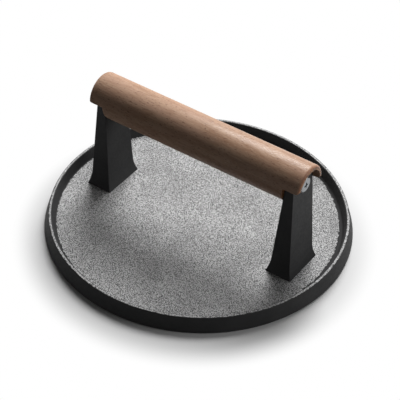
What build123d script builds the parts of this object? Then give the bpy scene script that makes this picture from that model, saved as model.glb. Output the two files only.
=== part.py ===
from build123d import *

import math
import os

# Burger press: a round cast plate with a raised rim and two tapered posts that
# carry a wood handle. All sizes are in millimetres and all angles in degrees.
# The origin is the centre of the underside, +X runs along the handle, +Z is up.

# Plate and rim
base_diameter = 178.0
floor_thickness = 3.6
rim_height = 9.4
rim_outer_lean = 2.75
rim_land_width = 1.9
rim_inner_lean = 1.9
rim_edge_round = 0.5
base_edge_round = 0.8
floor_corner_round = 0.8

# Posts, measured level with the handle's axis
post_gap = 120.4
post_thickness = 5.3
post_width = 19.6
post_inner_draft = 4.1
post_outer_draft = 3.6
post_side_draft = 2.45
foot_flare_height = 9.0
foot_flare_reach = 1.5
post_edge_round = 0.4

# Handle
handle_axis_height = 62.8
handle_diameter = 24.8
handle_length = 139.6
handle_end_round = 1.6
hood_edge_above_axis = 0.4
post_fit_clearance = 0.15

# Screws, M5 with a low pan head
screw_diameter = 4.9
screw_length = 16.0
thread_pitch = 0.8
thread_depth = 0.4
screw_head_diameter = 9.5
screw_head_height = 2.5
screw_head_round = 1.3
recess_length = 4.8
recess_width = 1.1
recess_depth = 1.4
screw_hole_clearance = 0.3
screw_seat_clearance = 0.35
screw_seat_depth = 0.2

# Threaded inserts in the handle's ends
insert_diameter = 8.0
insert_length = 12.0
insert_depth_below_shoulder = 0.3
insert_chamfer = 0.5
insert_bore_clearance = 0.05
insert_fit_clearance = 0.05
screw_tip_room = 2.0

# Worked out from the sizes above
base_radius = base_diameter / 2
wall_foot_angle = math.atan2(rim_height, rim_outer_lean)
foot_corner_radius = base_radius + base_edge_round * (1 / math.tan(wall_foot_angle / 2) - 1)
rim_outer_radius = foot_corner_radius - rim_outer_lean
rim_inner_radius = rim_outer_radius - rim_land_width
floor_radius = rim_inner_radius - rim_inner_lean
handle_radius = handle_diameter / 2
handle_end_x = handle_length / 2
post_inner_x = post_gap / 2
post_outer_x = post_inner_x + post_thickness
post_half_width = post_width / 2
post_sink_z = floor_thickness / 2
foot_flare_top_z = floor_thickness + foot_flare_height
screw_seat_radius = screw_head_diameter / 2 + screw_seat_clearance
screw_seat_slope = screw_seat_radius * math.tan(math.radians(post_outer_draft))
screw_seat_x = post_outer_x - screw_seat_slope - screw_seat_depth
screw_hole_radius = screw_diameter / 2 + screw_hole_clearance
shoulder_x = post_inner_x - post_fit_clearance
insert_outer_x = shoulder_x - insert_depth_below_shoulder
insert_inner_x = insert_outer_x - insert_length
screw_tip_x = screw_seat_x - screw_length
beyond = 2 * base_diameter
same_place = 0.01


def plate():
    """The round plate with its rim, turned from half of its cross-section."""
    with BuildPart() as turned:
        with BuildSketch(Plane.XZ) as section:
            Polygon(
                (0, 0),
                (foot_corner_radius, 0),
                (rim_outer_radius, rim_height),
                (rim_inner_radius, rim_height),
                (floor_radius, floor_thickness),
                (0, floor_thickness),
                align=None,
            )
            rim = section.vertices().filter_by(lambda v: abs(v.Y - rim_height) < same_place)
            fillet(rim, rim_edge_round)
            foot = section.vertices().filter_by(lambda v: abs(v.X - foot_corner_radius) < same_place)
            fillet(foot, base_edge_round)
            hollow = section.vertices().filter_by(lambda v: abs(v.X - floor_radius) < same_place)
            fillet(hollow, floor_corner_round)
        revolve(axis=Axis.Z)
    return turned.part


def drafted(offset_at_axis, draft, height):
    """A drafted face's distance at a height; it grows downwards from the handle's axis."""
    return offset_at_axis + (handle_axis_height - height) * math.tan(math.radians(draft))


def flared_side(offset_at_axis, draft):
    """Points down one side of a post: flare top, flare middle, foot on the floor, sunk foot."""
    middle_z = floor_thickness + foot_flare_height / 2
    return [
        (drafted(offset_at_axis, draft, foot_flare_top_z), foot_flare_top_z),
        (drafted(offset_at_axis, draft, middle_z) + foot_flare_reach / 4, middle_z),
        (drafted(offset_at_axis, draft, floor_thickness) + foot_flare_reach, floor_thickness),
        (drafted(offset_at_axis, draft, floor_thickness) + foot_flare_reach, post_sink_z),
    ]


def mirrored(points):
    return [(-x, z) for x, z in points]


def post():
    """The right post: its front outline and its side outline, each drawn through the other."""
    top_z = handle_axis_height + post_half_width
    outer = flared_side(post_outer_x, post_outer_draft)
    inner = mirrored(flared_side(-post_inner_x, post_inner_draft))
    outer_top = (drafted(post_outer_x, post_outer_draft, top_z), top_z)
    inner_top = (-drafted(-post_inner_x, post_inner_draft, top_z), top_z)
    side = flared_side(post_half_width, post_side_draft)
    side_axis = (post_half_width, handle_axis_height)
    with BuildSketch(Plane.XZ) as front_outline:
        with BuildLine():
            Line(inner_top, outer_top)
            Line(outer_top, outer[0])
            ThreePointArc(*outer[:3])
            Line(*outer[2:])
            Line(outer[3], inner[3])
            Line(*inner[2:])
            ThreePointArc(*inner[:3])
            Line(inner[0], inner_top)
        make_face()
    with BuildSketch(Plane.YZ) as side_outline:
        with BuildLine():
            ThreePointArc(side_axis, (0, top_z), *mirrored([side_axis]))
            Line(*mirrored([side_axis, side[0]]))
            ThreePointArc(*mirrored(side[:3]))
            Line(*mirrored(side[2:]))
            Line(*mirrored(side[3:]), side[3])
            Line(*side[2:])
            ThreePointArc(*side[:3])
            Line(side[0], side_axis)
        make_face()
    front = extrude(front_outline.sketch, amount=base_radius, both=True)
    through = extrude(side_outline.sketch, amount=base_radius, both=True)
    body = front & through
    upright = [
        edge
        for edge in body.edges()
        if edge.bounding_box().size.Z > foot_flare_height / 2
        and edge.bounding_box().size.Z > edge.bounding_box().size.Y
    ]
    return fillet(upright, post_edge_round)


def rod(radius, from_x, to_x):
    """A round bar on the handle's axis, between two places along it."""
    centre = ((from_x + to_x) / 2, 0, handle_axis_height)
    return Location(centre) * Rotation(0, 90, 0) * Cylinder(radius, abs(to_x - from_x))


def other_end(shape):
    """The same shape at the left end."""
    return mirror(shape, about=Plane.YZ)


def press_casting():
    """Plate, rim and both posts in one piece, with a hole and a flat seat for each screw."""
    right_post = post() - rod(screw_hole_radius, 0, beyond) - rod(screw_seat_radius, screw_seat_x, beyond)
    return plate() + right_post + other_end(right_post)


def handle_notch():
    """What is cut from the handle's right end, with its shoulder leaning like the post's face."""
    low_z = handle_axis_height - handle_diameter
    high_z = handle_axis_height + handle_diameter
    outline = Polygon(
        (-drafted(-shoulder_x, post_inner_draft, low_z), low_z),
        (beyond, low_z),
        (beyond, high_z),
        (-drafted(-shoulder_x, post_inner_draft, high_z), high_z),
        align=None,
    )
    leaning = extrude(Plane.XZ * outline, amount=handle_diameter, both=True)
    edge_z = handle_axis_height + hood_edge_above_axis
    open_below = Pos(0, 0, edge_z) * Box(
        4 * beyond,
        2 * handle_diameter,
        2 * handle_diameter,
        align=(Align.CENTER, Align.CENTER, Align.MAX),
    )
    pocket = rod(post_half_width + post_fit_clearance, 0, beyond)
    return leaning & (open_below + pocket)


def wood_handle():
    """The turned dowel with a hood over each post and a stepped hole for insert and screw tip."""
    dowel = rod(handle_radius, -handle_end_x, handle_end_x)
    dowel = fillet(dowel.edges().filter_by(GeomType.CIRCLE), handle_end_round)
    insert_hole = rod(insert_diameter / 2 + insert_fit_clearance, insert_inner_x, beyond)
    tip_hole = rod(screw_hole_radius, screw_tip_x - screw_tip_room, beyond)
    cut = handle_notch() + insert_hole + tip_hole
    return dowel - cut - other_end(cut)


def screw():
    """The right screw: a pan head with a cross recess and a ringed shank in place of a thread."""
    head_radius = screw_head_diameter / 2
    crest = screw_diameter / 2
    root = crest - thread_depth
    turns = math.floor(screw_length / thread_pitch) - 1
    profile = [(0, screw_head_height), (head_radius, screw_head_height), (head_radius, 0), (crest, 0)]
    for turn in range(turns):
        top = -turn * thread_pitch
        profile += [(crest, top - thread_pitch / 4), (root, top - thread_pitch / 2)]
        profile += [(root, top - thread_pitch * 3 / 4), (crest, top - thread_pitch)]
    profile += [(root, -screw_length), (0, -screw_length)]
    with BuildPart() as turned:
        with BuildSketch(Plane.XZ) as section:
            Polygon(*profile, align=None)
            rim = section.vertices().sort_by(Axis.Y)[-2:].sort_by(Axis.X)[-1]
            fillet(rim, screw_head_round)
        revolve(axis=Axis.Z)
    arm = Box(recess_length, recess_width, 2 * recess_depth)
    cross = Pos(0, 0, screw_head_height) * (arm + Rotation(0, 0, 90) * arm)
    upright = turned.part - cross
    return Location((screw_seat_x, 0, handle_axis_height)) * Rotation(0, 90, 0) * upright


def insert():
    """The right threaded insert, plain outside, with a chamfered mouth at each end."""
    sleeve = rod(insert_diameter / 2, insert_inner_x, insert_outer_x)
    sleeve = chamfer(sleeve.edges().filter_by(GeomType.CIRCLE), insert_chamfer)
    return sleeve - rod(screw_diameter / 2 + insert_bore_clearance, 0, beyond)


os.makedirs("parts", exist_ok=True)
export_step(press_casting(), "parts/press_casting.step")
export_step(wood_handle(), "parts/wood_handle.step")
export_step(screw(), "parts/screw_right.step")
export_step(other_end(screw()), "parts/screw_left.step")
export_step(insert(), "parts/insert_right.step")
export_step(other_end(insert()), "parts/insert_left.step")
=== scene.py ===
import math

import bmesh
import bpy
from bpy.props import FloatProperty, FloatVectorProperty, IntProperty, PointerProperty
from mathutils import Matrix, Vector


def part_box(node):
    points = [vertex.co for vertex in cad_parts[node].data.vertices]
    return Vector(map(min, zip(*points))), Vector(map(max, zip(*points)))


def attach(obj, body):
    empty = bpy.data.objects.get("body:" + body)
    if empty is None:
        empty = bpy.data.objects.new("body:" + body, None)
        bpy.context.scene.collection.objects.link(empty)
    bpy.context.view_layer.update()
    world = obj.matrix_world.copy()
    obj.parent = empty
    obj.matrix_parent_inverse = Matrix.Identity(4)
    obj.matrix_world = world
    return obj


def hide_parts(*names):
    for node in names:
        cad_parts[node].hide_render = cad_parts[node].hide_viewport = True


bl_info = {
    "name": "Burger press",
    "version": (1, 0, 0),
    "blender": (4, 5, 0),
    "location": "3D View > Sidebar > Burger press",
    "description": "Models a round cast-iron burger press with a wood handle, on a pale stage",
    "category": "Add Mesh",
}

# The fixed frame: +X runs along the handle, +Z is up, and the underside's centre is the origin.
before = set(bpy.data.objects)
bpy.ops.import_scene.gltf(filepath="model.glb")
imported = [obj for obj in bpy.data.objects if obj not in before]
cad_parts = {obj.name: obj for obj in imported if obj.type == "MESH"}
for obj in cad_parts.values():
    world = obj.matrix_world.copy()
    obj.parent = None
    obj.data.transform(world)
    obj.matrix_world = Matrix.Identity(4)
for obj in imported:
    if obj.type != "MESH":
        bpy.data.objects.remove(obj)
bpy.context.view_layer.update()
casting_low, casting_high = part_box("press_casting")
handle_low, handle_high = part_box("wood_handle")
screw_low, screw_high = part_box("screw_right")
handle_axis_z = (handle_low.z + handle_high.z) / 2

# The right end of the press lies at +X and is made first.
SIDES = (1, -1)
# Two places nearer than this, in metres, count as one.
CLOSE = 1e-5
# Nearly all values of a noise texture lie between these two.
NOISE_LOW = 0.3
NOISE_HIGH = 0.7
SENSOR_WIDTH_MM = 36
CAMERA_REACH = 20


def length(name, description, millimetres):
    """A size that the user can change, given in millimetres and kept in metres."""
    return FloatProperty(
        name=name,
        description=description,
        default=millimetres / 1000,
        precision=5,
        subtype="DISTANCE",
        unit="LENGTH",
    )


def measured(name, description, metres):
    """A size that the frame gives, in metres."""
    return length(name, description, metres * 1000)


def angle(name, description, degrees):
    return FloatProperty(
        name=name,
        description=description,
        default=math.radians(degrees),
        subtype="ANGLE",
        unit="ROTATION",
    )


def amount(name, description, default):
    return FloatProperty(name=name, description=description, default=default)


def count(name, description, default):
    return IntProperty(name=name, description=description, default=default, min=3)


def colour(name, description, red, green, blue):
    return FloatVectorProperty(
        name=name,
        description=description,
        default=(red, green, blue),
        size=3,
        min=0,
        max=1,
        subtype="COLOR",
    )


class CastingSizes(bpy.types.PropertyGroup):
    """Sizes of the plate, its rim and the posts."""

    base_radius: measured("Base radius", "Radius of the plate at its foot", casting_high.x - CLOSE)
    floor_height: length("Floor height", "Height of the tray's floor", 3.6)
    rim_height: length("Rim height", "Height of the rim's flat top", 9.4)
    outer_lean: length("Outer lean", "How far the outer wall leans in", 2.75)
    land_width: length("Land width", "Width of the rim's flat top", 1.9)
    inner_lean: length("Inner lean", "How far the inner wall leans in", 1.9)
    rim_round: length("Rim rounding", "Radius of the rim's edges", 0.5)
    foot_round: length("Foot rounding", "Radius of the plate's bottom edge", 0.8)
    corner_round: length("Corner rounding", "Radius where floor and wall meet", 0.8)
    shade_margin: length("Shade margin", "Width of a flat ring round the floor", 1.0)
    post_inner: length("Post inner face", "Distance to a post's inner face, at axis height", 60.2)
    post_thickness: length("Post thickness", "Thickness of a post, at axis height", 5.3)
    post_half_width: length("Post half width", "Half a post's width, at axis height", 9.8)
    inner_draft: angle("Inner draft", "Lean of a post's inner face", 4.1)
    outer_draft: angle("Outer draft", "Lean of a post's outer face", 3.6)
    side_draft: angle("Side draft", "Lean of a post's side faces", 2.45)
    flare_height: length("Flare height", "Height of a post's flared foot", 9.0)
    flare_reach: length("Flare reach", "How far the flare spreads on the floor", 1.5)
    post_round: length("Post rounding", "Radius of a post's edges", 0.4)
    hole_radius: length("Hole radius", "Radius of a post's screw hole", 2.75)
    seat_radius: length("Seat radius", "Radius of the flat seat under a screw's head", 5.1)
    axis_height: measured("Axis height", "Height of the handle's axis", handle_axis_z)
    round_steps: count("Round steps", "Sides of the round plate", 256)
    flare_steps: count("Flare steps", "Steps up a post's flare", 8)
    crown_steps: count("Crown steps", "Steps up a post's rounded top", 14)
    # The pale grain with its painted sheen stops short of the wall's foot, leaving a dark ring of
    # painted shade, and on the rim's top begins just past the inner rounding, leaving a dark line
    # of painted shade.
    grain_sheen_radius: length("Grain radius", "Radius of the floor's sand grain", 81.4)
    grain_sheen_shift: length("Grain shift", "How far that grain lies off the centre along X", -0.75)
    land_grain_sheen_start: length("Land grain start", "Radius where the rim's grain begins", 85.05)
    land_grain_sheen_end: length("Land grain end", "Radius where the rim's grain ends", 86.25)
    grain_fade: length("Grain fade", "Half the width over which the grain begins", 0.1)
    grain_wobble: length("Grain wobble", "How far the grain's ragged edges wander", 0.45)


class HandleSizes(bpy.types.PropertyGroup):
    """Sizes of the wood dowel and of the hoods at its ends."""

    radius: measured("Radius", "Radius of the dowel", (handle_high.z - handle_low.z) / 2)
    half_length: measured("Half length", "Half the dowel's length", handle_high.x)
    end_round: length("End rounding", "Radius of the dowel's end edges", 1.6)
    hood_edge: length("Hood edge", "Height of a hood's lower edges over the axis", 0.4)
    fit: length("Fit", "Room between a hood and its post", 0.15)
    edge_round: length("Edge rounding", "Radius to which cut edges are sanded", 0.4)
    corner_round: length("Corner rounding", "Radius of a hood's lower outer corners", 2.0)
    hood_turn: angle("Hood turn", "Turn of the right hood's lower edges about the axis", 7)
    hole_radius: length("Hole radius", "Radius of the hole for an insert", 4.05)
    hole_depth: length("Hole depth", "Depth of that hole from the shoulder", 12.3)
    round_steps: count("Round steps", "Sides of the dowel", 160)


class ScrewSizes(bpy.types.PropertyGroup):
    """Sizes of the pan-head screws."""

    head_radius: measured("Head radius", "Radius of the head", (screw_high.z - screw_low.z) / 2)
    face: measured("Face", "Distance to the head's face", screw_high.x)
    tip: measured("Tip", "Distance to the screw's tip", screw_low.x)
    head_height: length("Head height", "Height of the head", 2.5)
    head_round: length("Head rounding", "Radius of the head's edge", 1.3)
    crest_radius: length("Crest radius", "Radius of the thread's crests", 2.45)
    thread_depth: length("Thread depth", "Depth of the thread", 0.4)
    pitch: length("Pitch", "Distance from crest to crest", 0.8)
    recess_length: length("Recess length", "Length of the cross recess", 5.2)
    recess_width: length("Recess width", "Width of the cross recess's arms", 1.4)
    recess_depth: length("Recess depth", "Depth of the cross recess", 1.8)
    recess_taper: amount("Recess taper", "Size of the recess's bottom over its mouth's", 0.45)
    round_steps: count("Round steps", "Sides of the head", 64)


class PressColours(bpy.types.PropertyGroup):
    """Colours of the finishes."""

    iron_wall: colour("Iron wall", "Seasoned iron on walls and posts", 0.024, 0.024, 0.0245)
    iron_worn: colour("Worn iron", "Paler clouds on walls and posts", 0.031, 0.031, 0.0315)
    iron_pit: colour("Iron pit", "Pits of the sand-cast grain", 0.005, 0.005, 0.0052)
    # The grain tips' pale grey is mostly a painted sheen of the large lamp on upward faces; the
    # iron itself is nearly black.
    iron_grain_sheen: colour("Iron grain", "Tips of the sand-cast grain", 0.48, 0.48, 0.48)
    wood_light: colour("Light wood", "Light streaks of the wood", 0.415, 0.27, 0.185)
    wood_dark: colour("Dark wood", "Dark streaks of the wood", 0.30, 0.176, 0.11)
    wood_pink: colour("Pink wood", "Pinkish clouds in the wood", 0.375, 0.228, 0.165)
    wood_pore: colour("Wood pore", "Pores and dark flecks", 0.13, 0.065, 0.042)
    wood_fleck: colour("Wood fleck", "Pale flecks", 0.52, 0.40, 0.30)
    wood_end: colour("End grain", "Cut ends of the wood", 0.36, 0.17, 0.07)
    wood_edge: colour("Wood edge", "Rounded edges of the cut ends", 0.28, 0.13, 0.08)
    zinc: colour("Zinc", "Plated screws", 0.24, 0.25, 0.26)
    zinc_haze: colour("Zinc haze", "Dull haze on the plating", 0.12, 0.13, 0.14)
    brass: colour("Brass", "Threaded inserts", 0.72, 0.53, 0.25)
    brass_mark: colour("Brass mark", "Tool marks in the brass", 0.5, 0.34, 0.15)
    # The paper's grey, against the plain white further out, is a painted shadow halo round the
    # press.
    paper: colour("Paper", "The stage's floor", 0.56, 0.56, 0.56)
    paper_fibre: colour("Paper fibre", "Paler fibres of that floor", 0.6, 0.6, 0.6)
    bounce: colour("Bounce", "What that floor throws back on the press", 0.15, 0.15, 0.15)


class StudioSettings(bpy.types.PropertyGroup):
    """Camera, lamps and floor."""

    camera_azimuth: angle("Camera azimuth", "Camera's turn round the press", 33.466)
    camera_elevation: angle("Camera elevation", "Camera's height over the floor", 41.02)
    camera_roll: angle("Camera roll", "Camera's turn about its own axis", 2.284)
    camera_distance: length("Camera distance", "Camera's distance from the origin", 850)
    camera_right: length("Camera right", "Camera's step to its right", 0.09)
    camera_up: length("Camera up", "Camera's step up", 12.925)
    lens: amount("Lens", "Focal length in millimetres, for the sensor's width", 132.07)
    lamp_azimuth: angle("Lamp azimuth", "Turn of the large lamp behind the press", 201)
    lamp_elevation: angle("Lamp elevation", "Height of the large lamp", 48)
    lamp_distance: length("Lamp distance", "Distance of the large lamp", 1200)
    lamp_width: length("Lamp width", "Width of the large lamp", 700)
    lamp_power: amount("Lamp power", "Power of the large lamp in watts", 24)
    fill_azimuth: angle("Fill azimuth", "Turn of the fill lamp at the press's right end", 118)
    fill_elevation: angle("Fill elevation", "Height of the fill lamp", 18)
    fill_width: length("Fill width", "Width of the fill lamp", 900)
    fill_power: amount("Fill power", "Power of the fill lamp in watts", 7)
    sky: amount("Sky", "Strength of the light from all round", 0.055)
    floor_width: length("Floor width", "Side of the floor", 6000)
    # Within the shadow radius the paper stays grey, a painted shadow halo round the press that
    # also takes the lamps' shadows; by the fade radius it is plain white. The fade's centre lies
    # towards the front, where the halo reaches further.
    shadow_radius: length("Shadow radius", "Distance to which the floor keeps its shadow", 86)
    fade_radius: length("Fade radius", "Distance past which the floor is plain white", 106)
    fade_right: length("Fade right", "The fade's centre along X", 4.4)
    fade_back: length("Fade back", "The fade's centre along Y", -9.4)


# Modelling steps


def deselect():
    """Leaves nothing selected, so that the next operator acts on the new piece alone."""
    if bpy.context.mode != "OBJECT":
        bpy.ops.object.mode_set(mode="OBJECT")
    bpy.ops.object.select_all(action="DESELECT")


def select_only(piece):
    deselect()
    piece.select_set(True)
    bpy.context.view_layer.objects.active = piece


def name_piece(name):
    """Names the primitive that was just added and puts its place into its mesh."""
    piece = bpy.context.object
    piece.name = name
    piece.data.name = name
    bpy.ops.object.transform_apply(location=True, rotation=True, scale=True)
    return piece


def edit():
    bpy.ops.object.mode_set(mode="EDIT")


def leave_edit():
    bpy.ops.object.mode_set(mode="OBJECT")


def choose_faces(test):
    """Selects the faces whose centre and normal pass a test."""
    bpy.ops.mesh.select_mode(type="FACE")
    bpy.ops.mesh.select_all(action="DESELECT")
    mesh_data = bpy.context.object.data
    mesh = bmesh.from_edit_mesh(mesh_data)
    for face in mesh.faces:
        face.select_set(test(face.calc_center_median(), face.normal))
    bmesh.update_edit_mesh(mesh_data)


def choose_edges(test):
    """Selects the edges whose two ends both pass a test."""
    bpy.ops.mesh.select_mode(type="EDGE")
    bpy.ops.mesh.select_all(action="DESELECT")
    mesh_data = bpy.context.object.data
    mesh = bmesh.from_edit_mesh(mesh_data)
    for edge in mesh.edges:
        edge.select_set(all(test(vert.co) for vert in edge.verts))
    bmesh.update_edit_mesh(mesh_data)


def choose_ring(radius, height):
    """Selects the round edge of that radius at that height."""

    def on_ring(point):
        return abs(point.z - height) < CLOSE and abs(point.xy.length - radius) < CLOSE

    choose_edges(on_ring)


def grow(move, spread_x, spread_y):
    """Extrudes the chosen face by a move and scales it about its own middle."""
    bpy.ops.mesh.extrude_region_move(TRANSFORM_OT_translate={"value": move})
    mesh = bmesh.from_edit_mesh(bpy.context.object.data)
    corners = [vert.co for vert in mesh.verts if vert.select]
    middle = sum(corners, Vector()) / len(corners)
    bpy.ops.transform.resize(value=(spread_x, spread_y, 1), center_override=middle)


def round_edges(radius, segments):
    """Rounds the chosen edges."""
    bpy.ops.mesh.bevel(offset=radius, offset_type="OFFSET", segments=segments, affect="EDGES")


def point_outwards():
    """Merges doubled points and turns all faces outwards."""
    bpy.ops.mesh.select_all(action="SELECT")
    bpy.ops.mesh.remove_doubles(threshold=CLOSE / 10)
    bpy.ops.mesh.normals_make_consistent(inside=False)


def apply_modifier(piece, kind, **settings):
    """Adds a modifier with its settings and applies it."""
    select_only(piece)
    modifier = piece.modifiers.new(kind.lower(), kind)
    for setting, value in settings.items():
        setattr(modifier, setting, value)
    bpy.ops.object.modifier_apply(modifier=modifier.name)


def combine(piece, other, operation):
    """Joins another shape to the piece, or cuts it out, and removes that shape."""
    apply_modifier(piece, "BOOLEAN", object=other, operation=operation, solver="EXACT")
    bpy.data.objects.remove(other)


def ease_edges(piece, radius, segments, sharpest=40):
    """Rounds every edge that turns by more than an angle in degrees."""
    apply_modifier(
        piece,
        "BEVEL",
        width=radius,
        segments=segments,
        limit_method="ANGLE",
        angle_limit=math.radians(sharpest),
        use_clamp_overlap=True,
    )


def smooth(piece, degrees=35):
    """Shades the piece smooth, with its flat faces kept flat."""
    select_only(piece)
    bpy.ops.object.shade_smooth_by_angle(angle=math.radians(degrees))
    apply_modifier(piece, "WEIGHTED_NORMAL", keep_sharp=True)


def rod(name, radius, start_x, end_x, height, steps):
    """A round bar along X, used as a cutter or as the start of a piece."""
    deselect()
    bpy.ops.mesh.primitive_cylinder_add(
        vertices=steps,
        radius=radius,
        depth=abs(end_x - start_x),
        location=((start_x + end_x) / 2, 0, height),
        rotation=(0, math.pi / 2, 0),
    )
    return name_piece(name)


def finish_piece(piece, node, material):
    """Gives the piece its finish and its place in the frame."""
    piece.data.materials.clear()
    piece.data.materials.append(material)
    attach(piece, "root")
    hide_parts(node)


def give_faces(piece, material, test):
    """Gives the faces that pass a test another finish."""
    select_only(piece)
    piece.data.materials.append(material)
    piece.active_material_index = len(piece.data.materials) - 1
    edit()
    choose_faces(test)
    bpy.ops.object.material_slot_assign()
    leave_edit()


# The casting


def turned_plate(sizes):
    """The round plate: wall, rim, inner wall and floor, extruded from one disc."""
    wall_foot_angle = math.atan2(sizes.rim_height, sizes.outer_lean)
    foot_corner = sizes.base_radius + sizes.foot_round * (1 / math.tan(wall_foot_angle / 2) - 1)
    rim_outer = foot_corner - sizes.outer_lean
    rim_inner = rim_outer - sizes.land_width
    floor_radius = rim_inner - sizes.inner_lean
    deselect()
    bpy.ops.mesh.primitive_circle_add(
        vertices=sizes.round_steps,
        radius=foot_corner,
        fill_type="NGON",
    )
    plate = name_piece("casting")
    edit()
    spread = rim_outer / foot_corner
    grow((0, 0, sizes.rim_height), spread, spread)
    spread = rim_inner / rim_outer
    grow((0, 0, 0), spread, spread)
    spread = floor_radius / rim_inner
    grow((0, 0, sizes.floor_height - sizes.rim_height), spread, spread)
    point_outwards()
    choose_ring(floor_radius, sizes.floor_height)
    round_edges(sizes.corner_round, segments=4)
    choose_ring(rim_outer, sizes.rim_height)
    round_edges(sizes.rim_round, segments=4)
    choose_ring(rim_inner, sizes.rim_height)
    round_edges(sizes.rim_round, segments=4)
    choose_ring(foot_corner, 0)
    round_edges(sizes.foot_round / math.tan(wall_foot_angle / 2), segments=5)
    choose_faces(lambda centre, normal: centre.xy.length < CLOSE)
    bpy.ops.mesh.inset(thickness=sizes.shade_margin)
    leave_edit()
    return plate


def post_outline(sizes, height):
    """Inner face, outer face and half width of the right post at a height."""
    below_axis = sizes.axis_height - height
    over_floor = max(height - sizes.floor_height, 0) / sizes.flare_height
    flare = sizes.flare_reach * max(1 - over_floor, 0) ** 2
    outer_face = sizes.post_inner + sizes.post_thickness
    inner = sizes.post_inner - below_axis * math.tan(sizes.inner_draft) - flare
    outer = outer_face + below_axis * math.tan(sizes.outer_draft) + flare
    if below_axis < 0:
        half_width = math.sqrt(max(sizes.post_half_width**2 - below_axis**2, 0))
    else:
        half_width = sizes.post_half_width + below_axis * math.tan(sizes.side_draft) + flare
    return inner, outer, half_width


def post_heights(sizes):
    """Heights at which a post is shaped: the sunk foot, up the flare, the axis, up the crown."""
    flare = [
        sizes.floor_height + sizes.flare_height * step / sizes.flare_steps
        for step in range(sizes.flare_steps + 1)
    ]
    crown_turn = math.pi / 2 / sizes.crown_steps
    crown = [
        sizes.axis_height + sizes.post_half_width * math.sin(crown_turn * step)
        for step in range(sizes.crown_steps)
    ]
    return [sizes.floor_height / 2] + flare + crown


def post(sizes, side):
    """A tapered post, extruded upwards step by step, with its screw hole and seat."""
    heights = post_heights(sizes)
    inner, outer, half_width = post_outline(sizes, sizes.floor_height)
    middle = ((inner + outer) / 2, 0, heights[0])
    deselect()
    bpy.ops.mesh.primitive_plane_add(size=1, location=middle)
    piece = name_piece("post")
    edit()
    bpy.ops.transform.resize(value=(outer - inner, 2 * half_width, 1), center_override=middle)
    for low, high in zip(heights, heights[1:]):
        new_inner, new_outer, new_half_width = post_outline(sizes, high)
        step = (new_inner + new_outer - inner - outer) / 2
        spread = (new_outer - new_inner) / (outer - inner)
        grow((step, 0, high - low), spread, new_half_width / half_width)
        inner, outer, half_width = new_inner, new_outer, new_half_width
    point_outwards()
    leave_edit()
    ease_edges(piece, sizes.post_round, segments=3)
    beyond = 2 * (sizes.post_inner + sizes.post_thickness)
    hole = rod("hole", sizes.hole_radius, 0, beyond, sizes.axis_height, steps=48)
    combine(piece, hole, "DIFFERENCE")
    seat = rod("seat", sizes.seat_radius, screw_seat(), beyond, sizes.axis_height, steps=64)
    combine(piece, seat, "DIFFERENCE")
    if side < 0:
        mirror_to_left(piece)
    return piece


def mirror_to_left(piece):
    """Mirrors a right-hand piece to the left, with its faces still outwards."""
    select_only(piece)
    edit()
    bpy.ops.mesh.select_all(action="SELECT")
    bpy.ops.transform.resize(value=(-1, 1, 1), center_override=(0, 0, 0))
    bpy.ops.mesh.normals_make_consistent(inside=False)
    leave_edit()


def screw_seat():
    """Where the screw's head sits on the right post."""
    screws = bpy.context.scene.press_screws
    return screws.face - screws.head_height


class PRESS_OT_casting(bpy.types.Operator):
    """Models the iron casting: the plate with its rim, and both posts"""

    bl_idname = "press.casting"
    bl_label = "Iron casting"

    def execute(self, context):
        sizes = context.scene.press_casting
        casting = turned_plate(sizes)
        for side in SIDES:
            combine(casting, post(sizes, side), "UNION")
        smooth(casting)
        finish_piece(casting, "press_casting", wall_finish(context.scene))
        # Faces that look upwards, below the rim's top, get the grain finish with its painted
        # sheen.
        least_upward = 0.6

        def grain_and_sheen(centre, normal):
            return normal.z > least_upward and centre.z < sizes.rim_height + CLOSE

        give_faces(casting, sand_and_sheen_finish(context.scene), grain_and_sheen)
        return {"FINISHED"}


# The handle


def leaning_x(sizes, casting, height):
    """Distance to a shoulder of the handle, which leans like the post's inner face."""
    below_axis = casting.axis_height - height
    return casting.post_inner - sizes.fit - below_axis * math.tan(casting.inner_draft)


def space_under_hood(sizes, casting):
    """Cutter for all that is open below a hood's edges, as wide as the dowel."""
    low_z = casting.axis_height - 2 * sizes.radius
    high_z = casting.axis_height + sizes.hood_edge
    low_x = leaning_x(sizes, casting, low_z)
    high_x = leaning_x(sizes, casting, high_z)
    far_x = 2 * sizes.half_length
    deselect()
    bpy.ops.mesh.primitive_cube_add(
        size=1,
        location=((low_x + far_x) / 2, 0, (low_z + high_z) / 2),
        scale=(far_x - low_x, 4 * sizes.radius, high_z - low_z),
    )
    cutter = name_piece("space")

    def on_top_edge(point):
        return abs(point.x - low_x) < CLOSE and abs(point.z - high_z) < CLOSE

    edit()
    choose_edges(on_top_edge)
    bpy.ops.transform.translate(value=(high_x - low_x, 0, 0))
    leave_edit()
    return cutter


def post_pocket(sizes, casting):
    """Cutter for the round pocket over the post's crown, with a leaning end."""
    shoulder = leaning_x(sizes, casting, casting.axis_height)
    start = shoulder - sizes.radius
    beyond = 2 * sizes.half_length
    radius = casting.post_half_width + sizes.fit
    cutter = rod("pocket", radius, start, beyond, casting.axis_height, sizes.round_steps)
    edit()
    bpy.ops.mesh.select_all(action="SELECT")
    bpy.ops.mesh.bisect(
        plane_co=(shoulder, 0, casting.axis_height),
        plane_no=(math.cos(casting.inner_draft), 0, -math.sin(casting.inner_draft)),
        use_fill=True,
        clear_inner=True,
    )
    leave_edit()
    return cutter


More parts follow.
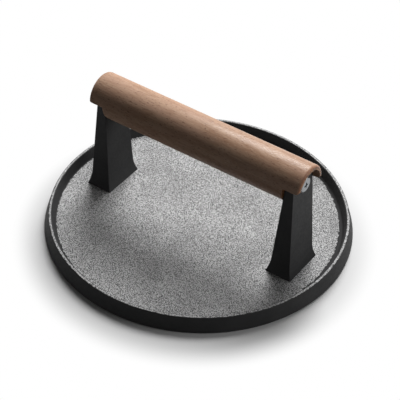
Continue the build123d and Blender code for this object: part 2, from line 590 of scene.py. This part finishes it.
def hood_corner(sizes, casting):
    """Cutter that rounds the lower outer corners of the right hood."""
    radius = sizes.corner_round
    centre_x = sizes.half_length - radius
    centre_z = casting.axis_height + sizes.hood_edge + radius
    deselect()
    bpy.ops.mesh.primitive_cube_add(
        size=1,
        location=(centre_x + radius, 0, centre_z - radius),
        scale=(2 * radius, 4 * sizes.radius, 2 * radius),
    )
    cutter = name_piece("corner")
    deselect()
    bpy.ops.mesh.primitive_cylinder_add(
        vertices=96,
        radius=radius,
        depth=5 * sizes.radius,
        location=(centre_x, 0, centre_z),
        rotation=(math.pi / 2, 0, 0),
    )
    combine(cutter, name_piece("round"), "DIFFERENCE")
    return cutter


def turn_to_left(piece):
    """Turns a cutter half round the Z axis, to the handle's other end."""
    select_only(piece)
    edit()
    bpy.ops.mesh.select_all(action="SELECT")
    bpy.ops.transform.rotate(value=math.pi, orient_axis="Z", center_override=(0, 0, 0))
    leave_edit()


def turn_about_axis(piece, turn, height):
    """Turns a cutter about the handle's axis, which raises its near side."""
    select_only(piece)
    edit()
    bpy.ops.mesh.select_all(action="SELECT")
    bpy.ops.transform.rotate(value=turn, orient_axis="X", center_override=(0, 0, height))
    leave_edit()


def dowel(sizes, casting):
    """The turned dowel, with the edges of its ends rounded."""
    handle = rod(
        "handle",
        sizes.radius,
        -sizes.half_length,
        sizes.half_length,
        casting.axis_height,
        sizes.round_steps,
    )
    edit()
    for side in SIDES:
        end_x = side * sizes.half_length
        choose_edges(lambda point: abs(point.x - end_x) < CLOSE)
        round_edges(sizes.end_round, segments=6)
    leave_edit()
    return handle


def cut_hood(handle, sizes, casting, side):
    """Cuts one end into a hood with a rounded pocket, and drills the hole for its insert."""
    start = leaning_x(sizes, casting, casting.axis_height) - sizes.hole_depth
    beyond = 2 * sizes.half_length
    hole = rod("hole", sizes.hole_radius, start, beyond, casting.axis_height, steps=48)
    space = space_under_hood(sizes, casting)
    corner = hood_corner(sizes, casting)
    if side > 0:
        turn_about_axis(space, sizes.hood_turn, casting.axis_height)
        turn_about_axis(corner, sizes.hood_turn, casting.axis_height)
    for cutter in (space, post_pocket(sizes, casting), hole, corner):
        if side < 0:
            turn_to_left(cutter)
        combine(handle, cutter, "DIFFERENCE")


class PRESS_OT_handle(bpy.types.Operator):
    """Models the wood handle: a dowel with a hood over each post"""

    bl_idname = "press.handle"
    bl_label = "Wood handle"

    def execute(self, context):
        sizes = context.scene.press_handle
        casting = context.scene.press_casting
        handle = dowel(sizes, casting)
        for side in SIDES:
            cut_hood(handle, sizes, casting, side)
        ease_edges(handle, sizes.edge_round, segments=3)
        smooth(handle)
        finish_piece(handle, "wood_handle", wood_finish(context.scene))
        return {"FINISHED"}


# The screws and inserts


def cross_recess(sizes):
    """Cutter for the cross recess: two tapered arms that cross at the head's middle."""
    arms = []
    for turn in (0, math.pi / 2):
        deselect()
        bpy.ops.mesh.primitive_cube_add(
            size=1,
            scale=(sizes.recess_length, sizes.recess_width, 2 * sizes.recess_depth),
            rotation=(0, 0, turn),
        )
        arm = name_piece("arm")
        edit()
        choose_faces(lambda centre, normal: centre.z < CLOSE - sizes.recess_depth)
        bpy.ops.transform.resize(
            value=(sizes.recess_taper, sizes.recess_taper, 1),
            center_override=(0, 0, -sizes.recess_depth),
        )
        leave_edit()
        arms.append(arm)
    combine(arms[0], arms[1], "UNION")
    return arms[0]


def upright_screw(sizes):
    """A screw along Z, extruded from its tip up to a head whose face lies at zero."""
    shank = sizes.face - sizes.tip - sizes.head_height
    turns = int(shank / sizes.pitch) - 1
    root = sizes.crest_radius - sizes.thread_depth
    widen = sizes.crest_radius / root
    quarter = (0, 0, sizes.pitch / 4)
    plain = shank - turns * sizes.pitch
    deselect()
    bpy.ops.mesh.primitive_circle_add(
        vertices=sizes.round_steps,
        radius=root,
        fill_type="NGON",
        location=(0, 0, -sizes.head_height - shank),
    )
    screw = name_piece("screw")
    edit()
    grow((0, 0, plain - sizes.pitch / 4), 1, 1)
    for turn in range(turns):
        grow(quarter, widen, widen)
        grow(quarter, 1, 1)
        grow(quarter, 1 / widen, 1 / widen)
        grow(quarter, 1, 1)
    grow(quarter, 1, 1)
    grow((0, 0, 0), sizes.head_radius / root, sizes.head_radius / root)
    grow((0, 0, sizes.head_height), 1, 1)
    point_outwards()
    choose_ring(sizes.head_radius, 0)
    round_edges(sizes.head_round, segments=8)
    leave_edit()
    return screw


class PRESS_OT_screws(bpy.types.Operator):
    """Models a pan-head screw with a cross recess at each end of the handle"""

    bl_idname = "press.screws"
    bl_label = "Screws"

    def execute(self, context):
        sizes = context.scene.press_screws
        axis_height = context.scene.press_casting.axis_height
        zinc = zinc_finish(context.scene)
        for side, end in zip(SIDES, ("right", "left")):
            screw = upright_screw(sizes)
            combine(screw, cross_recess(sizes), "DIFFERENCE")
            select_only(screw)
            screw.name = "screw_head_" + end
            screw.data.name = screw.name
            screw.rotation_euler = (0, side * math.pi / 2, 0)
            screw.location = (side * sizes.face, 0, axis_height)
            bpy.ops.object.transform_apply(location=True, rotation=True, scale=True)
            smooth(screw)
            finish_piece(screw, "screw_" + end, zinc)
        return {"FINISHED"}


class PRESS_OT_inserts(bpy.types.Operator):
    """Gives the threaded inserts inside the handle their brass"""

    bl_idname = "press.inserts"
    bl_label = "Inserts"

    def execute(self, context):
        brass = brass_finish(context.scene)
        for node in ("insert_left", "insert_right"):
            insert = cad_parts[node]
            for slot in insert.material_slots:
                slot.material = brass
        return {"FINISHED"}


# Finishes


class Finish:
    """A material under construction, with short ways to add and join its nodes."""

    def __init__(self, name):
        self.material = bpy.data.materials.new(name)
        self.material.use_nodes = True
        self.nodes = self.material.node_tree.nodes
        self.links = self.material.node_tree.links
        self.nodes.clear()
        self.output = self.add("ShaderNodeOutputMaterial")
        self.place = self.add("ShaderNodeTexCoord").outputs["Object"]

    def add(self, kind, **settings):
        node = self.nodes.new(kind)
        for setting, value in settings.items():
            setattr(node, setting, value)
        return node

    def join(self, source, target):
        self.links.new(source, target)

    def fill(self, target, value):
        """Sets a socket to a number or colour, or joins it to another node's socket."""
        if isinstance(value, bpy.types.NodeSocket):
            self.join(value, target)
        elif hasattr(value, "__len__") and len(value) == 3 and target.type == "RGBA":
            target.default_value = (*value, 1)
        else:
            target.default_value = value

    def surface(self, **settings):
        """The main shader; its settings are named like its sockets, with _ for a space."""
        shader = self.add("ShaderNodeBsdfPrincipled")
        self.join(shader.outputs["BSDF"], self.output.inputs["Surface"])
        for setting, value in settings.items():
            self.fill(shader.inputs[setting.replace("_", " ")], value)

    def stretched(self, x, y, z):
        """Object coordinates multiplied along each axis."""
        mapping = self.add("ShaderNodeMapping")
        mapping.inputs["Scale"].default_value = (x, y, z)
        self.join(self.place, mapping.inputs["Vector"])
        return mapping.outputs["Vector"]

    def noise(self, scale, detail=2, roughness=0.5, distortion=0, at=None):
        node = self.add("ShaderNodeTexNoise")
        self.join(at or self.place, node.inputs["Vector"])
        node.inputs["Scale"].default_value = scale
        node.inputs["Detail"].default_value = detail
        node.inputs["Roughness"].default_value = roughness
        node.inputs["Distortion"].default_value = distortion
        return node.outputs["Fac"]

    def cells(self, scale):
        node = self.add("ShaderNodeTexVoronoi")
        self.join(self.place, node.inputs["Vector"])
        node.inputs["Scale"].default_value = scale
        return node.outputs["Distance"]

    def level_distance(self, centre_x):
        """Distance from an upright line through a place on the X axis."""
        level = self.add("ShaderNodeVectorMath", operation="MULTIPLY")
        self.join(self.place, level.inputs[0])
        level.inputs[1].default_value = (1, 1, 0)
        distance = self.add("ShaderNodeVectorMath", operation="DISTANCE")
        self.join(level.outputs["Vector"], distance.inputs[0])
        distance.inputs[1].default_value = (centre_x, 0, 0)
        return distance.outputs["Value"]

    def remap(self, value, low, high, to_low=0, to_high=1, smoothly=True):
        node = self.add("ShaderNodeMapRange")
        node.interpolation_type = "SMOOTHSTEP" if smoothly else "LINEAR"
        for name, number in (("Value", value), ("From Min", low), ("From Max", high)):
            self.fill(node.inputs[name], number)
        self.fill(node.inputs["To Min"], to_low)
        self.fill(node.inputs["To Max"], to_high)
        return node.outputs["Result"]

    def spread(self, noise, to_low, to_high, smoothly=True):
        """A noise texture's values, brought to run from one number to another."""
        return self.remap(noise, NOISE_LOW, NOISE_HIGH, to_low, to_high, smoothly)

    def facing(self):
        """The surface's own direction, split along X, Y and Z."""
        normal = self.add("ShaderNodeSeparateXYZ")
        self.join(self.add("ShaderNodeNewGeometry").outputs["Normal"], normal.inputs["Vector"])
        return normal.outputs

    def combined(self, operation, first, second):
        """Two values put together by one of the Math node's operations."""
        node = self.add("ShaderNodeMath", operation=operation)
        self.fill(node.inputs[0], first)
        self.fill(node.inputs[1], second)
        return node.outputs["Value"]

    def total(self, first, first_part, second, second_part):
        """Two values added up, each multiplied by its part."""
        return self.combined(
            "ADD",
            self.combined("MULTIPLY", first, first_part),
            self.combined("MULTIPLY", second, second_part),
        )

    def blend(self, factor, first, second):
        """A colour between two colours."""
        node = self.add("ShaderNodeMix", data_type="RGBA")
        self.fill(node.inputs["Factor"], factor)
        first_colour, second_colour = (socket for socket in node.inputs if socket.type == "RGBA")
        self.fill(first_colour, first)
        self.fill(second_colour, second)
        return next(socket for socket in node.outputs if socket.type == "RGBA")

    def mix(self, factor, first, second):
        """A shader between two shaders."""
        node = self.add("ShaderNodeMixShader")
        self.fill(node.inputs["Fac"], factor)
        self.join(first.outputs[0], node.inputs[1])
        self.join(second.outputs[0], node.inputs[2])
        return node

    def bump(self, height, distance, strength):
        node = self.add("ShaderNodeBump")
        node.inputs["Distance"].default_value = distance
        self.fill(node.inputs["Strength"], strength)
        self.join(height, node.inputs["Height"])
        return node.outputs["Normal"]


def wall_finish(scene):
    """Smooth satin black on the plate's walls and on the posts."""
    finish = Finish("black iron wall")
    colours = scene.press_colours
    clouds = finish.noise(60, detail=3)
    skin = finish.noise(700, detail=3, roughness=0.6)
    finish.surface(
        Base_Color=finish.blend(finish.spread(clouds, 0, 1), colours.iron_wall, colours.iron_worn),
        Roughness=finish.spread(skin, 0.55, 0.7),
        Normal=finish.bump(skin, 0.00006, 0.35),
        Specular_IOR_Level=0.12,
    )
    return finish.material


def grain_sheen_mask(finish, sizes):
    """One where the floor and the rim's top carry the grain and its painted sheen, with ragged
    edges; zero in a ring by the wall's foot and a line at the rim's inner edge, which stay dark as
    painted shade.
    """
    edges = finish.noise(480, detail=3)
    wobble = finish.spread(edges, -sizes.grain_wobble, sizes.grain_wobble, smoothly=False)

    def step_at(distance, radius, inside, outside):
        """Goes from one value to the other where a distance passes a radius."""
        start = radius - sizes.grain_fade
        end = radius + sizes.grain_fade
        return finish.remap(distance, start, end, inside, outside)

    # Dark iron is left as painted shade in a ring by the wall's foot and in a line at the rim's
    # inner edge.
    from_middle = finish.combined("ADD", finish.level_distance(sizes.grain_sheen_shift), wobble)
    floor = step_at(from_middle, sizes.grain_sheen_radius, 1, 0)
    from_axis = finish.level_distance(0)
    begins = step_at(from_axis, sizes.land_grain_sheen_start, 0, 1)
    ends = step_at(finish.combined("ADD", from_axis, wobble), sizes.land_grain_sheen_end, 1, 0)
    return finish.combined("MAXIMUM", floor, finish.combined("MULTIPLY", begins, ends))


def sand_and_sheen_finish(scene):
    """The open sand grain of the tray's floor and of the rim's flat top, with the grain's tips
    painted pale grey as the large lamp's sheen on upward faces, and tilted faces kept dark as
    painted shade.
    """
    colours = scene.press_colours
    finish = Finish("black iron grain with painted sheen")
    sand = finish.noise(2300, detail=2, roughness=0.65)
    grit = finish.cells(1900)
    patches = finish.noise(34, detail=3)
    grain = finish.total(sand, 0.8, grit, 0.25)
    # The tips are painted pale grey as glints of the large lamp's sheen; the pits are the iron's
    # own black.
    grain_glints = finish.remap(grain, 0.47, 0.57)
    iron = finish.blend(grain_glints, colours.iron_pit, colours.iron_grain_sheen)
    iron = finish.blend(finish.remap(patches, 0.4, 0.7, 0, 0.2), iron, colours.iron_pit)
    # Upward faces get the pale painted sheen; the rim's inner rounding, which tilts away, keeps
    # the dark wall colour as a painted shade line.
    tilt = finish.spread(sand, -0.06, 0.06, smoothly=False)
    ragged = finish.combined("ADD", finish.facing()["Z"], tilt)
    upward_sheen = finish.remap(ragged, 0.88, 0.97)
    grain_and_sheen = finish.combined("MULTIPLY", upward_sheen, grain_sheen_mask(finish, scene.press_casting))
    plain_roughness = 0.95
    grain_roughness = finish.spread(patches, 0.42, 0.5)
    finish.surface(
        Base_Color=finish.blend(grain_and_sheen, colours.iron_wall, iron),
        Roughness=finish.remap(grain_and_sheen, 0, 1, plain_roughness, grain_roughness),
        Normal=finish.bump(grain, 0.0004, finish.remap(grain_and_sheen, 0, 1, 0.1, 1.0)),
        Specular_IOR_Level=0.3,
    )
    return finish.material


def streaked_wood(finish, colours, fibres, pale_flecks):
    """The wood's long side: light and dark streaks, pinkish clouds, and both kinds of fleck."""
    along = finish.stretched(55, 240, 240)
    mottle = finish.noise(1, detail=3, roughness=0.6, distortion=0.4, at=along)
    tint = finish.noise(1, detail=2, at=finish.stretched(24, 90, 90))
    dark_flecks = finish.noise(1, detail=1, at=finish.stretched(520, 1450, 1450))
    grain = finish.total(mottle, 0.6, fibres, 0.4)
    wood = finish.blend(finish.remap(grain, 0.36, 0.64), colours.wood_dark, colours.wood_light)
    wood = finish.blend(finish.remap(tint, 0.35, 0.7, 0, 0.5), wood, colours.wood_pink)
    wood = finish.blend(finish.remap(dark_flecks, 0.62, 0.70, 0, 0.6), wood, colours.wood_pore)
    return finish.blend(finish.remap(pale_flecks, 0.64, 0.74, 0, 0.4), wood, colours.wood_fleck)


def with_cut_ends(finish, colours, wood):
    """Adds the darker rounded edges and the reddish end grain, by where the surface faces."""
    endways = finish.combined("ABSOLUTE", finish.facing()["X"], 0)
    pores = finish.noise(1, detail=3, at=finish.stretched(60, 900, 900))
    end_grain = finish.blend(finish.remap(pores, 0.4, 0.6), colours.wood_pore, colours.wood_end)
    dark_part = finish.remap(pores, 0.4, 0.65, 0, 0.4)
    edge = finish.blend(dark_part, colours.wood_edge, colours.wood_dark)
    tone = finish.blend(finish.remap(endways, 0.3, 0.6, 0, 0.85), wood, edge)
    return finish.blend(finish.remap(endways, 0.8, 0.97), tone, end_grain)


def wood_finish(scene):
    """Oiled hardwood with its grain along X, glossier towards the right end."""
    colours = scene.press_colours
    finish = Finish("oiled wood")
    fibres = finish.noise(1, detail=4, roughness=0.65, at=finish.stretched(150, 1500, 1500))
    pale_flecks = finish.noise(1, detail=2, at=finish.stretched(610, 1250, 1250))
    wood = streaked_wood(finish, colours, fibres, pale_flecks)
    place = finish.add("ShaderNodeSeparateXYZ")
    finish.join(finish.place, place.inputs["Vector"])
    worn = finish.remap(place.outputs["X"], -0.03, 0.03, 0.6, 0.28)
    uneven = finish.remap(pale_flecks, 0.35, 0.65, -0.08, 0.14)
    finish.surface(
        Base_Color=with_cut_ends(finish, colours, wood),
        Roughness=finish.combined("ADD", worn, uneven),
        Normal=finish.bump(finish.total(fibres, 0.6, pale_flecks, 0.4), 0.0002, 0.7),
        Specular_IOR_Level=0.12,
    )
    return finish.material


def zinc_finish(scene):
    """Bright zinc plating with a faint haze and fine scratches."""
    colours = scene.press_colours
    finish = Finish("zinc plating")
    haze = finish.noise(900, detail=3)
    scratches = finish.noise(1, detail=2, at=finish.stretched(400, 3000, 700))
    finish.surface(
        Base_Color=finish.blend(finish.spread(haze, 0, 0.3), colours.zinc, colours.zinc_haze),
        Metallic=1.0,
        Roughness=finish.spread(haze, 0.18, 0.3),
        Normal=finish.bump(scratches, 0.00002, 0.4),
    )
    return finish.material


def brass_finish(scene):
    """Turned brass with fine tool marks across the axis."""
    colours = scene.press_colours
    finish = Finish("turned brass")
    marks = finish.noise(1, detail=2, at=finish.stretched(4000, 300, 300))
    finish.surface(
        Base_Color=finish.blend(finish.spread(marks, 0, 0.3), colours.brass, colours.brass_mark),
        Metallic=1.0,
        Roughness=finish.spread(marks, 0.28, 0.42),
        Normal=finish.bump(marks, 0.00002, 0.4),
    )
    return finish.material


# The stage


def seen_or_mirrored(finish):
    """One for rays from the camera, from gloss and through glass, and zero for the others."""
    rays = finish.add("ShaderNodeLightPath").outputs
    seen = finish.combined("MAXIMUM", rays["Is Camera Ray"], rays["Is Glossy Ray"])
    return finish.combined("MAXIMUM", seen, rays["Is Transmission Ray"])


def paper_and_halo_finish(scene):
    """Paper painted grey round the press as a shadow halo, which also keeps the lamps' shadows,
    and plain white further out.
    """
    studio = scene.press_studio
    colours = scene.press_colours
    finish = Finish("white paper with painted shadow halo")
    fibre = finish.spread(finish.noise(600, detail=2), 0, 0.02)
    near = finish.add("ShaderNodeBsdfDiffuse")
    finish.fill(near.inputs["Color"], finish.blend(fibre, colours.paper, colours.paper_fibre))
    white = finish.add("ShaderNodeEmission")
    distance = finish.add("ShaderNodeVectorMath", operation="DISTANCE")
    finish.join(finish.place, distance.inputs[0])
    distance.inputs[1].default_value = (studio.fade_right, studio.fade_back, 0)
    # Grey near the press as a painted shadow halo, white beyond.
    outside = finish.remap(distance.outputs["Value"], studio.shadow_radius, studio.fade_radius)
    seen = finish.mix(outside, near, white)
    bounce = finish.add("ShaderNodeBsdfDiffuse")
    finish.fill(bounce.inputs["Color"], colours.bounce)
    whole = finish.mix(seen_or_mirrored(finish), bounce, seen)
    finish.join(whole.outputs["Shader"], finish.output.inputs["Surface"])
    return finish.material


def add_floor(scene):
    """The paper under the press."""
    deselect()
    bpy.ops.mesh.primitive_plane_add(size=scene.press_studio.floor_width)
    floor = name_piece("floor")
    floor.data.materials.append(paper_and_halo_finish(scene))


def add_sky(scene):
    """An even white surround that lights the press softly and is seen as plain white."""
    world = bpy.data.worlds.new("sky")
    world.use_nodes = True
    scene.world = world
    nodes = world.node_tree.nodes
    links = world.node_tree.links
    background = nodes["Background"]
    background.inputs["Color"].default_value = (1, 1, 1, 1)
    rays = nodes.new("ShaderNodeLightPath").outputs
    seen = nodes.new("ShaderNodeMath")
    seen.operation = "MAXIMUM"
    links.new(rays["Is Camera Ray"], seen.inputs[0])
    links.new(rays["Is Glossy Ray"], seen.inputs[1])
    through = nodes.new("ShaderNodeMath")
    through.operation = "MAXIMUM"
    links.new(seen.outputs["Value"], through.inputs[0])
    links.new(rays["Is Transmission Ray"], through.inputs[1])
    strength = nodes.new("ShaderNodeMapRange")
    strength.inputs["To Min"].default_value = scene.press_studio.sky
    strength.inputs["To Max"].default_value = 1
    links.new(through.outputs["Value"], strength.inputs["Value"])
    links.new(strength.outputs["Result"], background.inputs["Strength"])


def direction(azimuth, elevation):
    """The way from the origin to an azimuth, which is 0 in front, and an elevation."""
    level = math.cos(elevation)
    return Vector((math.sin(azimuth) * level, -math.cos(azimuth) * level, math.sin(elevation)))


def add_lamp(name, towards, distance, width, power):
    """A soft round lamp that looks at the press and is not seen itself."""
    deselect()
    bpy.ops.object.light_add(
        type="AREA",
        location=towards * distance,
        rotation=towards.to_track_quat("Z", "Y").to_euler(),
    )
    lamp = bpy.context.object
    lamp.name = name
    lamp.data.shape = "DISK"
    lamp.data.size = width
    lamp.data.energy = power
    lamp.visible_camera = False


def add_lamps(scene):
    """The large lamp behind the press and the weaker one at its right end."""
    studio = scene.press_studio
    towards = direction(studio.lamp_azimuth, studio.lamp_elevation)
    add_lamp("large_lamp", towards, studio.lamp_distance, studio.lamp_width, studio.lamp_power)
    towards = direction(studio.fill_azimuth, studio.fill_elevation)
    add_lamp("fill_lamp", towards, studio.lamp_distance, studio.fill_width, studio.fill_power)


def add_camera(scene):
    """The camera at the photograph's angle."""
    studio = scene.press_studio
    back = direction(studio.camera_azimuth, studio.camera_elevation)
    level_right = Vector((math.cos(studio.camera_azimuth), math.sin(studio.camera_azimuth), 0))
    level_up = back.cross(level_right)
    cosine = math.cos(studio.camera_roll)
    sine = math.sin(studio.camera_roll)
    right = level_right * cosine + level_up * sine
    up = level_up * cosine - level_right * sine
    step = level_right * studio.camera_right + level_up * studio.camera_up
    turn = Matrix((right, up, back)).transposed().to_4x4()
    deselect()
    bpy.ops.object.camera_add()
    camera = bpy.context.object
    camera.name = "camera"
    camera.matrix_world = Matrix.Translation(back * studio.camera_distance + step) @ turn
    camera.data.sensor_width = SENSOR_WIDTH_MM
    camera.data.lens = studio.lens
    camera.data.clip_end = CAMERA_REACH
    scene.camera = camera


class PRESS_OT_stage(bpy.types.Operator):
    """Adds the paper floor, the sky, the lamps and the camera"""

    bl_idname = "press.stage"
    bl_label = "Stage"

    def execute(self, context):
        scene = context.scene
        add_floor(scene)
        add_sky(scene)
        add_lamps(scene)
        add_camera(scene)
        scene.view_settings.view_transform = "Standard"
        return {"FINISHED"}


class PRESS_PT_panel(bpy.types.Panel):
    """Lists the steps that build the press"""

    bl_idname = "PRESS_PT_panel"
    bl_label = "Burger press"
    bl_space_type = "VIEW_3D"
    bl_region_type = "UI"
    bl_category = "Burger press"

    def draw(self, context):
        for step in STEPS:
            self.layout.operator(step.bl_idname)


GROUPS = {
    "press_casting": CastingSizes,
    "press_handle": HandleSizes,
    "press_screws": ScrewSizes,
    "press_colours": PressColours,
    "press_studio": StudioSettings,
}
STEPS = (PRESS_OT_casting, PRESS_OT_handle, PRESS_OT_screws, PRESS_OT_inserts, PRESS_OT_stage)


def register():
    """Registers the sizes, the operators and the panel."""
    for group in (*GROUPS.values(), *STEPS, PRESS_PT_panel):
        bpy.utils.register_class(group)
    for name, group in GROUPS.items():
        setattr(bpy.types.Scene, name, PointerProperty(type=group))


def unregister():
    """Takes back all that register adds."""
    for name in GROUPS:
        delattr(bpy.types.Scene, name)
    for group in (PRESS_PT_panel, *reversed(STEPS), *reversed(GROUPS.values())):
        bpy.utils.unregister_class(group)


def main():
    """Builds the press and its stage."""
    register()
    bpy.ops.press.casting()
    bpy.ops.press.handle()
    bpy.ops.press.screws()
    bpy.ops.press.inserts()
    bpy.ops.press.stage()


if __name__ == "__main__":
    main()
